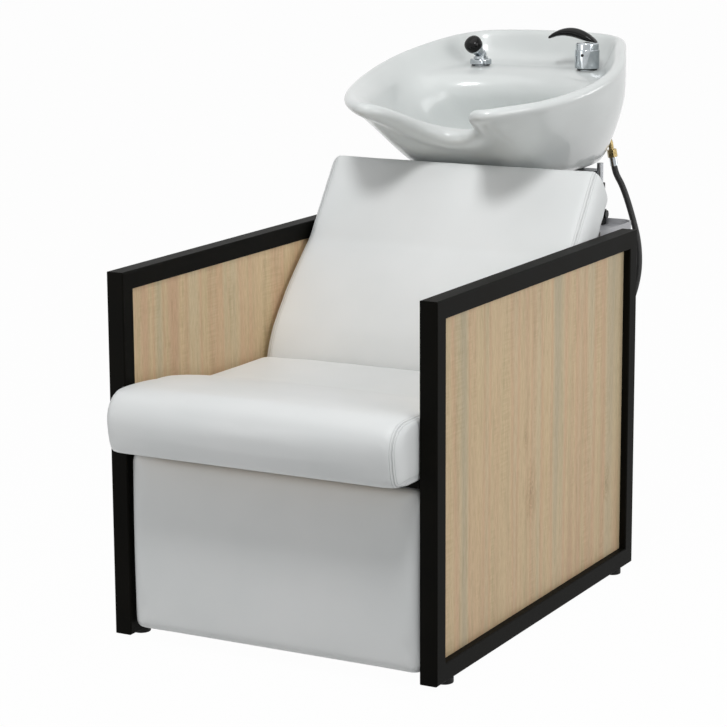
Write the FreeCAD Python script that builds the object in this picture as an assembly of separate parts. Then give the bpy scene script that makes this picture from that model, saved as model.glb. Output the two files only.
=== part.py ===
"""Salon backwash unit: padded seat between two panelled side frames, ceramic basin on a tilting cradle.

Millimetres. X runs across the seat, Y from the seat front to the basin rear, Z up from the floor.
Inside this file Y counts from the front of the side frames; save() moves the origin to the middle.
"""
import FreeCAD, Part
import math
import os

os.makedirs("parts", exist_ok=True)
V = FreeCAD.Vector

# Driving dimensions: side frames
frame_width = 620.0
frame_depth = 812.0
frame_height = 641.0
tube = 32.0
tube_corner = 2.5
wall = 2.0
foot_height = 10.0
foot_radius = 16.0
foot_inset = 57.0
foot_stem_radius = 5.0
foot_stem_length = 28.0
panel_thick = 16.0
panel_recess = 13.0
panel_clearance = 0.5
turning_clearance = 0.05

# Driving dimensions: seat, backrest and front panel
seat_overhang = 80.0
seat_bottom = 348.0
seat_top = 454.0
seat_board_thick = 15.0
seat_board_inset = 30.0
seat_corner = 26.0
seat_corner_draw = 28.0
seat_edge_drop = 5.0
seat_crown = 3.0
seat_to_crest = 273.0
cushion_side_clearance = 2.0
cushion_edge = 14.0
crest_setback = 93.0
back_crest_z = 759.0
back_recline = 36.5
back_straight = 182.0
back_thick = 68.0
back_top_fall = 14.0
back_board_thick = 15.0
back_bottom = 385.0
lumbar_forward = 37.0
lumbar_rise = 21.0
stay_half = 20.0
stay_thick = 8.0
stay_x = 150.0
stay_down = 120.0
front_panel_bottom = 21.0
front_panel_top = 334.0
front_panel_face = 6.0
front_board_thick = 12.0
front_rail_height = 12.0

# Driving dimensions: stand and cradle
shelf_top = 625.0
shelf_margin = 16.0
shelf_half_width = 250.0
shelf_sheet = 3.0
shelf_lip = 11.0
shelf_corner = 30.0
drain_hole_radius = 48.0
upright_x = 182.0
upright_behind = 122.0
upright_radius = 6.0
upright_past = 12.0
pivot_rise = 20.0
pivot_radius = 5.0
eye_radius = 9.0
lug_thick = 4.0
lug_gap = 0.5
bolt_head_radius = 8.0
bolt_head_thick = 5.0
cradle_thick = 5.0
cradle_pad_thick = 3.0
cradle_bar_half = 30.0
cradle_pad_half = 136.0
cradle_arm_half = 70.0
ear_drop = 32.0
clamp_wall = 4.0
clamp_height = 14.0

# Driving dimensions: basin
basin_overhang = 303.0
basin_rise = 105.0
deck_rise = 180.0
rim_rise = 65.0
basin_floor = 22.0
bottom_half_width = 165.0
bottom_half_length = 154.5
bottom_setback = 183.5
bowl_half_width = 112.0
bowl_half_length = 88.0
bowl_setback = 243.0
deck_depth = 147.0
deck_thick = 16.0
deck_dip = 1.3
rim_tuck = 0.3
pocket_half = 152.0
pocket_front = 26.0
pocket_rear = 60.0
pocket_step = 80.0
lower_pocket_half = 140.0
lower_pocket_rear = 36.0
lower_pocket_step = 125.0
supply_hole_x = 98.0
hose_hole_radius = 20.0
hose_hole_shift = 4.0

# Driving dimensions: waste, mixer, hand shower
waste_radius = 24.0
waste_spigot_radius = 20.0
waste_spigot_length = 32.0
waste_shift = 8.0
washer_thick = 2.0
seal_thick = 3.0
nut_height = 10.0
fitting_setback = 111.0
mixer_x = 122.0
mixer_radius = 23.5
mixer_body_height = 38.0
mixer_shank_radius = 15.0
mixer_shank_length = 60.0
cap_height = 13.0
barrel_radius = 6.0
barrel_half = 9.0
lever_width = 20.0
lever_thick = 7.0
lever_lift = 15
holder_x = -103.0
holder_radius = 21.0
holder_bore = 11.0
holder_shank_radius = 14.0
holder_shank_length = 150.0
tail_length = 125.0
handset_seat = 20.0
neck_length = 24.0
neck_radius = 9.0
spray_neck_radius = 13.0
spray_radius = 17.0
spray_shoulder = 8.0
spray_thick = 12.0
outlet_radius = 5.0
outlet_clearance = 4.0
hose_radius = 6.0
hose_nut_height = 15.0
hose_nut_flats = 17.0
ferrule_radius = 7.2
ferrule_length = 17.0

# Half of the rim's ridge, rear middle to neck notch: x, y from the basin's rear edge, z from its highest point
rim_half = [
    (0, -14, 0), (75, -15, -1), (132, -23, -3), (168, -51, -8), (185, -106, -14), (225, -185, -33),
    (239, -269, -53), (231, -360, -71), (209, -443, -83), (180, -503, -89), (149, -545, -92), (122, -569, -96),
    (102, -558, -96), (92, -516, -108), (80, -470, -124), (58, -431, -140), (29, -411, -149), (0, -406, -152)]
# Thickness of the rolled rim at each of those points
rim_roll = [12, 12, 12, 12, 11, 11, 11, 11, 12, 12, 13, 14, 16, 18, 20, 22, 23, 23]
# Roundness of the wall below each of them: 1 is a full belly, 0 a straight wall
rim_belly = [1, 1, 1, 1, 1, 0.95, 0.8, 0.58, 0.38, 0.22, 0.12, 0.06, 0, 0, 0, 0, 0, 0]
# How much the inside of the wall follows the flat deck behind the bowl, and the deck's front edge (x, y)
deck_share = [1, 1, 1, 0.92, 0.72, 0.42, 0.15, 0, 0, 0, 0, 0, 0, 0, 0, 0, 0, 0]
deck_edge = [(0, 8), (58, 3), (106, -14), (143, -44), (166, -92), (178, -150), (180, -200)]
# Wall stations from the floor up, as shares of the way out and up
round_wall = [(0.40, 0.20), (0.845, 0.52), (1.03, 0.74)]
straight_wall = [(0.14, 0.02), (0.53, 0.50), (0.85, 0.92)]
inner_wall = [(0.93, 0.86), (0.85, 0.73), (0.74, 0.58), (0.50, 0.29), (0.22, 0.08)]

# Lever's arch from tail to tip: x from the mixer's axis, z from the top of its body
lever_arch = [(17.0, 15.5), (-27.0, 39.0), (-80.0, 20.0)]
# Direction in which the hand shower's neck leans
neck_lean = (-0.15, -0.74, 0.66)
# Corners of the outlet tail: x, y from the mixer's axis, z from the end of its shank
outlet_corners = [(0, 8, 0), (0, 8, -42), (39, 24, -76), (42, 26, -96)]
# Corners of the hanging hose: x, y from the basin's rear edge, z from the deck
hose_route = [
    (183, -73, -224), (199, -67, -274), (217, -63, -342), (215, -63, -415), (180, -63, -502), (112, -63, -570),
    (20, -63, -602), (-70, -63, -578), (-130, -63, -510), (-155, -63, -420), (-153, -69, -330), (-131, -83, -246),
    (-108, -104, -188)]

# Sizes that follow
half_width = frame_width / 2
inner_half = half_width - tube
opening_low = foot_height + tube
opening_high = frame_height - tube
cushion_half = inner_half - cushion_side_clearance
back_crest_y = frame_depth - crest_setback
seat_rear = back_crest_y - seat_to_crest
lean_y = math.sin(math.radians(back_recline))
lean_z = math.cos(math.radians(back_recline))
basin_bottom = shelf_top + basin_rise
upright_top = basin_bottom + upright_past
upright_y = frame_depth + upright_behind
shelf_rear = upright_y + shelf_margin
pivot_height = shelf_top + pivot_rise
basin_rear = frame_depth + basin_overhang
basin_centre = basin_rear - bottom_setback
bowl_centre = basin_rear - bowl_setback
bowl_bottom = basin_bottom + basin_floor
waste_y = bowl_centre + waste_shift
deck_height = basin_bottom + deck_rise
deck_under = deck_height - deck_thick
deck_front = basin_rear - deck_depth
rim_top = deck_height + rim_rise
mixer_y = basin_rear - fitting_setback
holder_y = mixer_y
mixer_top = deck_height + mixer_body_height
shank_low = deck_height + washer_thick - mixer_shank_length
y_middle = 0.0


def save(name, shape):
    """Moves a finished piece to the shared origin and writes it."""
    moved = shape.copy()
    moved.translate(V(0, -y_middle, 0))
    moved.exportStep("parts/%s.step" % name)


def box(x0, x1, y0, y1, z0, z1):
    return Part.makeBox(x1 - x0, y1 - y0, z1 - z0, V(x0, y0, z0))


def rod(x, y, z, radius, length, axis=V(0, 0, 1)):
    return Part.makeCylinder(radius, length, V(x, y, z), axis)


def ring(x, y, z, outer, inner, height):
    return rod(x, y, z, outer, height).cut(rod(x, y, z, inner, height))


def hexagon(x, y, z, across_flats, height):
    circum = across_flats / math.sqrt(3)
    corners = []
    for k in range(7):
        angle = math.radians(60 * k)
        corners.append(V(x + circum * math.cos(angle), y + circum * math.sin(angle), z))
    return Part.Face(Part.makePolygon(corners)).extrude(V(0, 0, height))


def side_profile(points, x0, x1):
    """A Y-Z outline pushed along X."""
    corners = [V(x0, y, z) for y, z in points]
    corners.append(corners[0])
    return Part.Face(Part.makePolygon(corners)).extrude(V(x1 - x0, 0, 0))


def rounded(solid):
    """Rounds the long edges of a tube."""
    longest = max(e.Length for e in solid.Edges)
    return solid.makeFillet(tube_corner, [e for e in solid.Edges if e.Length > longest / 2])


def hollow_x(length_half, y0, y1, z0, z1):
    """A tube running across the unit between the two sides."""
    outer = rounded(box(-length_half, length_half, y0, y1, z0, z1))
    return outer.cut(box(-length_half, length_half, y0 + wall, y1 - wall, z0 + wall, z1 - wall))


def mitred_tube(x0, outer_points, inner_points):
    """One side of a welded tube frame, cut at 45 degrees at both ends."""
    solid = rounded(side_profile(outer_points, x0, x0 + tube))
    return solid.cut(side_profile(inner_points, x0 + wall, x0 + tube - wall))


def foot_positions():
    for y in (foot_inset, frame_depth - foot_inset):
        yield y


def side_frame(side, x0):
    """Four mitred tubes, the board between them and the two feet below."""
    low, high, deep = foot_height, frame_height, frame_depth
    w, t = wall, tube
    top = mitred_tube(x0, [(0, high), (deep, high), (deep - t, high - t), (t, high - t)],
                      [(w, high - w), (deep - w, high - w), (deep - t + w, high - t + w), (t - w, high - t + w)])
    bottom = mitred_tube(x0, [(0, low), (deep, low), (deep - t, low + t), (t, low + t)],
                         [(w, low + w), (deep - w, low + w), (deep - t + w, low + t - w), (t - w, low + t - w)])
    front = mitred_tube(x0, [(0, low), (t, low + t), (t, high - t), (0, high)],
                        [(w, low + w), (t - w, low + t - w), (t - w, high - t + w), (w, high - w)])
    rear = mitred_tube(x0, [(deep, low), (deep - t, low + t), (deep - t, high - t), (deep, high)],
                       [(deep - w, low + w), (deep - t + w, low + t - w),
                        (deep - t + w, high - t + w), (deep - w, high - w)])
    middle = x0 + tube / 2
    for y in foot_positions():
        bottom = bottom.cut(rod(middle, y, low - 1, foot_stem_radius + turning_clearance, wall + 2))
    outside = half_width - panel_recess
    inside = outside - panel_thick
    px0, px1 = (inside, outside) if x0 > 0 else (-outside, -inside)
    panel = box(px0, px1, t + panel_clearance, deep - t - panel_clearance,
                opening_low, opening_high - panel_clearance)
    save(side + "_top_rail", top)
    save(side + "_bottom_rail", bottom)
    save(side + "_front_post", front)
    save(side + "_rear_post", rear)
    save(side + "_panel", panel)
    for y, end in zip(foot_positions(), ("front", "rear")):
        pad = rod(middle, y, 0, foot_radius, foot_height)
        pad = pad.makeFillet(1.5, [pad.Edges[0], pad.Edges[2]])
        stem = rod(middle, y, foot_height, foot_stem_radius, foot_stem_length)
        save("%s_%s_foot" % (side, end), pad.fuse(stem).removeSplitter())


def cross_rails():
    """Tubes that tie the two side frames together and carry the seat and backrest."""
    rail_top = seat_bottom
    rail_low = seat_bottom - tube
    front_low = rail_top - front_rail_height
    save("front_cross_rail", hollow_x(inner_half, 0, tube, front_low, rail_top))
    rear_y = frame_depth - tube
    save("rear_middle_rail", hollow_x(inner_half, rear_y, frame_depth, rail_low, rail_top))
    save("rear_lower_rail", hollow_x(inner_half, rear_y, frame_depth, foot_height, foot_height + tube))
    save("rear_upper_rail", hollow_x(inner_half, rear_y, frame_depth, shelf_top - shelf_sheet - tube,
                                     shelf_top - shelf_sheet))
    rail_out = half_width - panel_recess - panel_thick - cushion_side_clearance
    rail_in = rail_out - tube
    for side, sign in (("left", -1), ("right", 1)):
        x0 = min(sign * rail_in, sign * rail_out)
        body = box(x0, x0 + tube, tube, rear_y, rail_low, rail_top)
        body = body.cut(box(x0 + wall, x0 + tube - wall, tube, rear_y, rail_low + wall, rail_top - wall))
        save(side + "_seat_rail", body)
    foot_y = stay_foot_y()
    save("seat_middle_rail", hollow_x(rail_in, foot_y - 3 * tube, foot_y - 2 * tube, rail_low, rail_top))
    save("backrest_rail", hollow_x(rail_in, foot_y - tube / 4, foot_y + 3 * tube / 4, rail_low, rail_top))
    return rail_in


def back_point(down, deep):
    """A point of the backrest: down the front face from the crest, then square into the pad."""
    y = back_crest_y - down * lean_y + deep * lean_z
    z = back_crest_z - down * lean_z - deep * lean_y
    return y, z


def stay_foot_y():
    """Where the back face of the backrest meets the height of the seat rails."""
    y, z = back_point(0, back_thick)
    return y - (z - seat_bottom) * lean_y / lean_z


def arc_wire(x, pieces):
    """A closed outline at one X, from lines (two points) and arcs (three points)."""
    edges = []
    for piece in pieces:
        pts = [V(x, y, z) for y, z in piece]
        if len(pts) == 2:
            edges.append(Part.LineSegment(pts[0], pts[1]).toShape())
        else:
            edges.append(Part.Arc(pts[0], pts[1], pts[2]).toShape())
    return Part.Wire(edges)


def seat_section(x, drop):
    """Seat outline: drop lowers the top at the sides, where the front is drawn back round the corner."""
    draw = max(drop, 0.0) * seat_corner_draw / seat_edge_drop
    front = -seat_overhang + draw
    top = seat_top - drop
    p_low = (front + 15, seat_bottom)
    p_toe = (front + 9, seat_bottom + 7)
    p_face = (front, top - 52)
    p_nose = (front + 50, top)
    p_dip = (0.52 * seat_rear, top - 32)
    p_rear = (seat_rear, top - 35)
    p_rear_low = (seat_rear, seat_bottom)
    return arc_wire(x, [
        (p_low, p_toe), (p_toe, (front + 3, seat_bottom + 32), p_face),
        (p_face, (front + 14, top - 13), p_nose),
        (p_nose, (0.27 * seat_rear + draw / 2, top - 10), p_dip),
        (p_dip, p_rear), (p_rear, p_rear_low), (p_rear_low, p_low)])


def pad_loft(section, half, reach, edge, crown):
    """A pad swept between its two sides: edges drawn in on a quarter round, middle crowned."""
    steps = []
    for share in (0.0, 0.05, 0.2, 0.5, 1.0):
        curve = 1 - math.sqrt(1 - (1 - share) ** 2)
        steps.append((half - reach * share, edge * curve))
    for share in (0.66, 0.33, 0.0):
        steps.append(((half - reach) * share, -crown * (1 - share ** 2)))
    left = [(-x, d) for x, d in steps]
    return Part.makeLoft([section(x, d) for x, d in left + steps[-2::-1]], True, True)


def seat():
    board_half = cushion_half - cushion_edge
    board = box(-board_half, board_half, seat_board_inset - seat_overhang, seat_rear - seat_board_inset / 3,
                seat_bottom, seat_bottom + seat_board_thick)
    pad = pad_loft(seat_section, cushion_half, seat_corner, seat_edge_drop, seat_crown)
    save("seat_board", board)
    save("seat_cushion", pad.cut(board))


def back_section(x, drop):
    """Backrest outline: drop thins the pad from the front and lowers the top edge."""
    draw = max(drop, 0.0)
    at = back_point
    crest = at(draw, drop)
    straight = at(back_straight, drop)
    lumbar = (seat_rear + lumbar_forward + drop * lean_z, seat_top + lumbar_rise - drop * lean_y)
    lumbar_mid = (0.6 * lumbar[0] + 0.4 * straight[0] - 5 * lean_z, 0.6 * lumbar[1] + 0.4 * straight[1] + 5 * lean_y)
    heel = (seat_rear + 4 + drop * lean_z, back_bottom)
    heel_mid = (0.7 * heel[0] + 0.3 * lumbar[0], 0.52 * heel[1] + 0.48 * lumbar[1])
    y_back, z_back = at(draw + back_top_fall, back_thick)
    rear_low = (y_back - (z_back - back_bottom) * lean_y / lean_z, back_bottom)
    crown = at(draw + back_top_fall / 4, back_thick / 2)
    return arc_wire(x, [
        (heel, heel_mid, lumbar), (lumbar, lumbar_mid, straight), (straight, crest),
        (crest, crown, (y_back, z_back)), ((y_back, z_back), rear_low), (rear_low, heel)])


def back_slab(half, top_down, thick, lower_z):
    """A flat slab lying along the back face of the backrest."""
    y1, z1 = back_point(top_down, back_thick)
    y0 = y1 - (z1 - lower_z) * lean_y / lean_z
    return side_profile([(y1, z1), (y1 - thick * lean_z, z1 + thick * lean_y),
                         (y0 - thick * lean_z, lower_z + thick * lean_y), (y0, lower_z)], -half, half)


def backrest():
    board = back_slab(cushion_half - cushion_edge, 20.0, back_board_thick, back_bottom + 15)
    pad = pad_loft(back_section, cushion_half, cushion_edge, 10.0, 4.0)
    save("backrest_board", board)
    save("backrest_cushion", pad.cut(board))
    foot_y = stay_foot_y()
    y1, z1 = back_point(stay_down, back_thick)
    for side, sign in (("left", -1), ("right", 1)):
        x = sign * stay_x
        bar = side_profile([(foot_y, seat_bottom), (y1, z1), (y1 + stay_thick * lean_z, z1 - stay_thick * lean_y),
                            (foot_y + stay_thick / lean_z, seat_bottom)], x - stay_half, x + stay_half)
        save(side + "_backrest_stay", bar)


def front_panel(rail_in):
    board_half = rail_in - cushion_side_clearance
    board = box(-board_half, board_half, tube, tube + front_board_thick, front_panel_bottom + 4, seat_bottom - 2)
    def section(x, inset):
        corner = max(inset, 0.0)
        z0, z1 = front_panel_bottom + corner, front_panel_top - corner
        face = front_panel_face + inset
        return arc_wire(x, [
            ((tube, z0), (face + 6, z0)), ((face + 6, z0), (face, z0 + 8)),
            ((face, z0 + 8), (face - 3, (z0 + z1) / 2), (face, z1 - 8)),
            ((face, z1 - 8), (face + 6, z1)), ((face + 6, z1), (tube, z1)), ((tube, z1), (tube, z0))])
    pad = pad_loft(section, cushion_half, cushion_edge, 9.0, 1.5)
    save("front_panel_board", board)
    save("front_panel_pad", pad)


def shelf_tray(inset, z0, z1):
    """Plan of the shelf as a plate, with its two rear corners rounded."""
    y0, y1, w = frame_depth - tube, shelf_rear - inset, shelf_half_width - inset
    plate = box(-w, w, y0, y1, z0, z1)
    corners = [e for e in plate.Edges if e.BoundBox.YLength < 1e-6 and e.BoundBox.XLength < 1e-6
               and abs(e.BoundBox.YMax - y1) < 1e-6]
    return plate.makeFillet(shelf_corner - inset, corners)


def basin_stand():
    """Shelf with a turned-up edge behind the side frames, and the gussets that carry it."""
    under = shelf_top - shelf_sheet
    shelf = shelf_tray(0, under, shelf_top + shelf_lip)
    shelf = shelf.cut(shelf_tray(shelf_sheet, shelf_top, shelf_top + shelf_lip))
    shelf = shelf.cut(rod(0, waste_y, under, drain_hole_radius, shelf_sheet))
    save("stand_shelf", shelf)
    gussets = []
    for sign in (-1, 1):
        x = sign * upright_x
        depth = shelf_rear - frame_depth - shelf_margin
        plate = side_profile([(frame_depth, under), (frame_depth + depth, under),
                              (frame_depth + depth, under - tube), (frame_depth, seat_bottom)],
                             x - wall, x + wall)
        post = box(x - tube / 2, x + tube / 2, frame_depth, frame_depth + wall, seat_bottom - tube, under)
        gussets.append(plate.cut(post).fuse(post).removeSplitter())
    save("stand_gussets", Part.makeCompound(gussets))


def tilt_pivots():
    """A U bracket on the shelf, a bolt through it and the upright that turns on the bolt, on each side."""
    inside = upright_radius + lug_gap
    outside = inside + lug_thick
    across = V(1, 0, 0)
    brackets, bolts = [], []
    for side, sign in (("left", -1), ("right", 1)):
        x = sign * upright_x
        bracket = box(x - outside, x + outside, upright_y - eye_radius, upright_y + eye_radius,
                      shelf_top, pivot_height + eye_radius)
        bracket = bracket.cut(box(x - inside, x + inside, upright_y - eye_radius, upright_y + eye_radius,
                                  shelf_top + shelf_sheet, pivot_height + eye_radius))
        hole = rod(x - outside, upright_y, pivot_height, pivot_radius + turning_clearance, 2 * outside, across)
        brackets.append(bracket.cut(hole))
        bolt = rod(x - outside, upright_y, pivot_height, pivot_radius, 2 * outside, across)
        for end in (x - outside - bolt_head_thick, x + outside):
            bolt = bolt.fuse(rod(end, upright_y, pivot_height, bolt_head_radius, bolt_head_thick, across))
        bolts.append(bolt.removeSplitter())
        bar = rod(x, upright_y, pivot_height, upright_radius, upright_top - pivot_height)
        eye = rod(x - upright_radius, upright_y, pivot_height, eye_radius, 2 * upright_radius, across)
        save(side + "_upright", bar.fuse(eye).cut(hole).removeSplitter())
    save("pivot_brackets", Part.makeCompound(brackets))
    save("pivot_bolts", Part.makeCompound(bolts))


def cradle_plan(z0, z1, bar_half):
    """Bar across the unit with an arm forward to the waste, and a round opening for it."""
    plan = box(-bar_half, bar_half, upright_y - cradle_bar_half, upright_y + cradle_bar_half, z0, z1)
    plan = plan.fuse(box(-cradle_arm_half, cradle_arm_half, waste_y - cradle_arm_half, upright_y, z0, z1))
    return plan.cut(rod(0, waste_y, z0, waste_radius + 4 * clamp_wall, z1 - z0)).removeSplitter()


def cradle():
    """Plate under the basin with a rubber pad on it, an ear down beside each upright and a clamp round it."""
    plate_top = basin_bottom - cradle_pad_thick
    plate_low = plate_top - cradle_thick
    ear_out = upright_x - upright_radius - lug_gap
    ear_in = ear_out - cradle_thick
    body = cradle_plan(plate_low, plate_top, ear_out)
    clamps = []
    clamp_low = plate_low - ear_drop + lug_gap
    for sign in (-1, 1):
        x0, x1 = sorted((sign * ear_in, sign * ear_out))
        body = body.fuse(box(x0, x1, upright_y - cradle_bar_half / 2, upright_y + cradle_bar_half / 2,
                             plate_low - ear_drop, plate_low))
        x = sign * upright_x
        grip = rod(x, upright_y, clamp_low, upright_radius + clamp_wall, clamp_height)
        c0, c1 = sorted((sign * ear_out, x))
        block = box(c0, c1, upright_y - eye_radius, upright_y + eye_radius, clamp_low, clamp_low + clamp_height)
        beside = box(x0, x1, upright_y - cradle_bar_half, upright_y + cradle_bar_half, clamp_low, plate_low)
        bore = rod(x, upright_y, clamp_low, upright_radius + turning_clearance, clamp_height)
        clamps.append(grip.fuse(block).cut(beside).cut(bore).removeSplitter())
    save("basin_cradle", body.removeSplitter())
    save("upright_clamps", Part.makeCompound(clamps))
    save("cradle_pad", cradle_plan(plate_top, basin_bottom, cradle_pad_half))


def mirrored(half):
    """Right half plus its mirror, as one closed list of points."""
    left = [V(-p.x, p.y, p.z) for p in half[-2:0:-1]]
    return half + left


def rim_points():
    return [V(x, basin_rear + y, rim_top + z) for x, y, z in rim_half]


def rim_normals(rim):
    """Outward direction in plan at each rim point."""
    closed = mirrored(rim)
    count = len(closed)
    normals = []
    for k in range(len(rim)):
        step = closed[(k + 1) % count] - closed[k - 1]
        side = V(-step.y, step.x, 0)
        normals.append(side.normalize())
    return normals


def oval_point(k, count, centre, half_x, half_y, z):
    angle = math.pi * k / (count - 1)
    s, c = math.sin(angle), math.cos(angle)
    power = 2.0 / 2.6
    x = half_x * abs(s) ** power if 0 < k < count - 1 else 0.0
    y = math.copysign(abs(c) ** power, c) * half_y
    return V(x, centre + y, z)


def blend(a, b, across, up):
    return V(a.x + (b.x - a.x) * across, a.y + (b.y - a.y) * across, a.z + (b.z - a.z) * up)


def basin_rings():
    """Closed curves from the underside, up the outside, over the rim and down into the bowl."""
    rim = rim_points()
    out = rim_normals(rim)
    n = len(rim)
    low = [oval_point(k, n, basin_centre, bottom_half_width, bottom_half_length, basin_bottom) for k in range(n)]
    bowl = [oval_point(k, n, bowl_centre, bowl_half_width, bowl_half_length, bowl_bottom) for k in range(n)]
    under = []
    for k in range(n):
        under.append(rim[k] + out[k] * rim_roll[k] * ((1 + rim_tuck) * rim_belly[k] - rim_tuck) - V(0, 0, 2 * rim_roll[k]))
    rings = []
    rings.append([blend(V(0, basin_centre, basin_bottom), p, 0.8, 1) for p in low])
    rings.append([blend(p, r, 0.0, 0.02) for p, r in zip(low, rim)])
    for full, plain in zip(round_wall, straight_wall):
        ring_points = []
        for k in range(n):
            across = plain[0] + (full[0] - plain[0]) * rim_belly[k]
            up = plain[1] + (full[1] - plain[1]) * rim_belly[k]
            ring_points.append(blend(low[k], under[k], across, up))
        rings.append(ring_points)
    rings.append(under)
    for outward, down in ((1, 1.4), (1, 0.45), (0, 0), (-1, 0.35)):
        rings.append([rim[k] + out[k] * outward * rim_roll[k] - V(0, 0, down * rim_roll[k]) for k in range(n)])
    for level, (across, up) in enumerate(inner_wall):
        ring_points = []
        for k in range(n):
            foot = rim[k] - out[k] * 2.2 * rim_roll[k]
            ring_points.append(deck_point(level, k, blend(bowl[k], foot, across, up), foot))
        rings.append(ring_points)
    rings.append([blend(V(0, bowl_centre, bowl_bottom), p, 0.9, 1) for p in bowl])
    return rings


def deck_point(level, k, plain, foot):
    """Pulls the inside of the rear wall out into the flat deck for the mixer."""
    share = deck_share[k]
    if share == 0 or level > 3:
        return plain
    x, y = deck_edge[k]
    level_height = deck_height - deck_dip
    edge = V(x, deck_front + y, level_height)
    foot_of_wall = V(foot.x, foot.y, level_height)
    below = V(0.84 * x, deck_front + 0.8 * y - 46, deck_height - 48)
    goal = (foot_of_wall, (foot_of_wall + edge) * 0.5, edge, below)[level]
    return blend(plain, goal, share, share)


def net_surface(rings):
    """A smooth closed band whose control net is the rings."""
    columns = [[ring_points[k] for ring_points in rings] for k in range(len(rings[0]))]
    around, along = len(columns), len(rings)
    surface = Part.BSplineSurface()
    surface.buildFromPolesMultsKnots(
        columns, [1] * (around + 1), [4] + [1] * (along - 4) + [4],
        list(range(around + 1)), list(range(along - 2)), True, False, 3, 3)
    return surface.toShape()


def deck_pocket(half, rear, z0, z1):
    """Room under the deck for nuts and tails, rounded at its upright edges."""
    room = box(-half, half, mixer_y - pocket_front, mixer_y + rear, z0, z1)
    upright_edges = [e for e in room.Edges if e.BoundBox.XLength < 1e-6 and e.BoundBox.YLength < 1e-6]
    return room.makeFillet(basin_floor, upright_edges)


def basin_body():
    band = net_surface([mirrored(half) for half in basin_rings()])
    caps = [Part.Face(Part.Wire([e])) for e in band.Edges if e.isClosed() and e.BoundBox.ZLength < 0.01]
    shell = Part.makeShell([band] + caps)
    shell.sewShape()
    body = Part.makeSolid(shell)
    body.fix(0.01, 0.01, 0.01)
    below = basin_bottom - basin_floor
    step = deck_height - pocket_step
    low_step = deck_height - lower_pocket_step
    body = body.cut(deck_pocket(pocket_half, pocket_rear, step, deck_under))
    body = body.cut(deck_pocket(lower_pocket_half, lower_pocket_rear, low_step, step + washer_thick))
    for x in (supply_hole_x, holder_x):
        body = body.cut(rod(x, mixer_y + hose_hole_shift, below, hose_hole_radius, low_step + washer_thick - below))
    body = body.cut(bent_tube(outlet_path(), outlet_radius + outlet_clearance)[0])
    for x, shank in ((mixer_x, mixer_shank_radius), (holder_x, holder_shank_radius)):
        body = body.cut(rod(x, mixer_y, deck_under - deck_thick, shank + washer_thick, 3 * deck_thick))
    body = body.cut(rod(0, waste_y, below, waste_radius + turning_clearance, 3 * basin_floor))
    return body


def waste():
    """Chrome flange with a threaded tail and spigot, rubber washer and nut below, and a lift-out strainer."""
    bore = waste_spigot_radius - seal_thick
    rebate = waste_radius + 1
    nut_low = basin_bottom - seal_thick - nut_height
    spigot_low = nut_low - waste_spigot_length
    flange = rod(0, waste_y, bowl_bottom, waste_radius + 8, seal_thick)
    flange = flange.fuse(rod(0, waste_y, nut_low, waste_radius, bowl_bottom - nut_low))
    flange = flange.fuse(rod(0, waste_y, spigot_low, waste_spigot_radius, waste_spigot_length))
    flange = flange.cut(rod(0, waste_y, spigot_low, bore, bowl_bottom + seal_thick - spigot_low))
    flange = flange.cut(rod(0, waste_y, bowl_bottom + 1, rebate, seal_thick))
    save("waste_flange", flange.removeSplitter())
    fit = waste_radius + turning_clearance
    save("waste_washer", ring(0, waste_y, basin_bottom - seal_thick, waste_radius + 9, fit, seal_thick))
    nut = hexagon(0, waste_y, nut_low, 2 * waste_radius + 14, nut_height)
    save("waste_nut", nut.cut(rod(0, waste_y, nut_low, fit, nut_height)))
    plate = rod(0, waste_y, bowl_bottom + 1, rebate - turning_clearance, seal_thick - 1)
    for count, radius in ((6, 7.0), (12, 14.0)):
        for k in range(count):
            angle = 2 * math.pi * k / count
            plate = plate.cut(rod(radius * math.cos(angle), waste_y + radius * math.sin(angle), bowl_bottom, 2.5, 6))
    save("waste_strainer", plate)


def mixer():
    """Single-lever mixer: body on the deck, with its nut and supply tails below."""
    base = deck_height + washer_thick
    washers = []
    for x, shank in ((mixer_x, mixer_shank_radius), (holder_x, holder_shank_radius)):
        washers.append(ring(x, mixer_y, deck_height, shank + 2 * washer_thick, shank + turning_clearance, washer_thick))
    save("deck_washers", Part.makeCompound(washers))
    body = rod(mixer_x, mixer_y, base, mixer_radius, mixer_top - base)
    body = body.makeFillet(1.5, [body.Edges[0], body.Edges[2]])
    shank = rod(mixer_x, mixer_y, shank_low, mixer_shank_radius, mixer_shank_length)
    save("mixer_body", body.fuse(shank).removeSplitter())
    nut = hexagon(mixer_x, mixer_y, deck_under - nut_height, 2 * mixer_shank_radius + 9, nut_height)
    fit = mixer_shank_radius + turning_clearance
    save("mixer_nut", nut.cut(rod(mixer_x, mixer_y, deck_under - nut_height, fit, nut_height)))
    tails = []
    for shift in (-1, 1):
        x, y = mixer_x + shift * mixer_shank_radius / 2, mixer_y - mixer_shank_radius / 3
        tail = rod(x, y, shank_low - mixer_shank_length, 4.5, mixer_shank_length)
        tails.append(tail.fuse(hexagon(x, y, shank_low - 12, 13, 12)).removeSplitter())
    save("supply_tails", Part.makeCompound(tails))
    dot = rod(mixer_x, mixer_y - mixer_radius - 0.6, mixer_top - nut_height, 3.0, 3.0, V(0, 1, 0))
    save("mixer_dot", dot.cut(body))


def lever_blade(width):
    """The lever's arched bar, at rest."""
    def arch_point(x, z):
        return V(mixer_x + x, mixer_y - width / 2, mixer_top + z)
    upper = Part.Arc(*[arch_point(x, z) for x, z in lever_arch])
    lower = Part.Arc(*[arch_point(x, z - lever_thick) for x, z in lever_arch])
    edges = [upper.toShape(), lower.toShape()]
    for x, z in (lever_arch[0], lever_arch[2]):
        edges.append(Part.LineSegment(arch_point(x, z), arch_point(x, z - lever_thick)).toShape())
    return Part.Face(Part.Wire(Part.__sortEdges__(edges))).extrude(V(0, width, 0))


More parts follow.
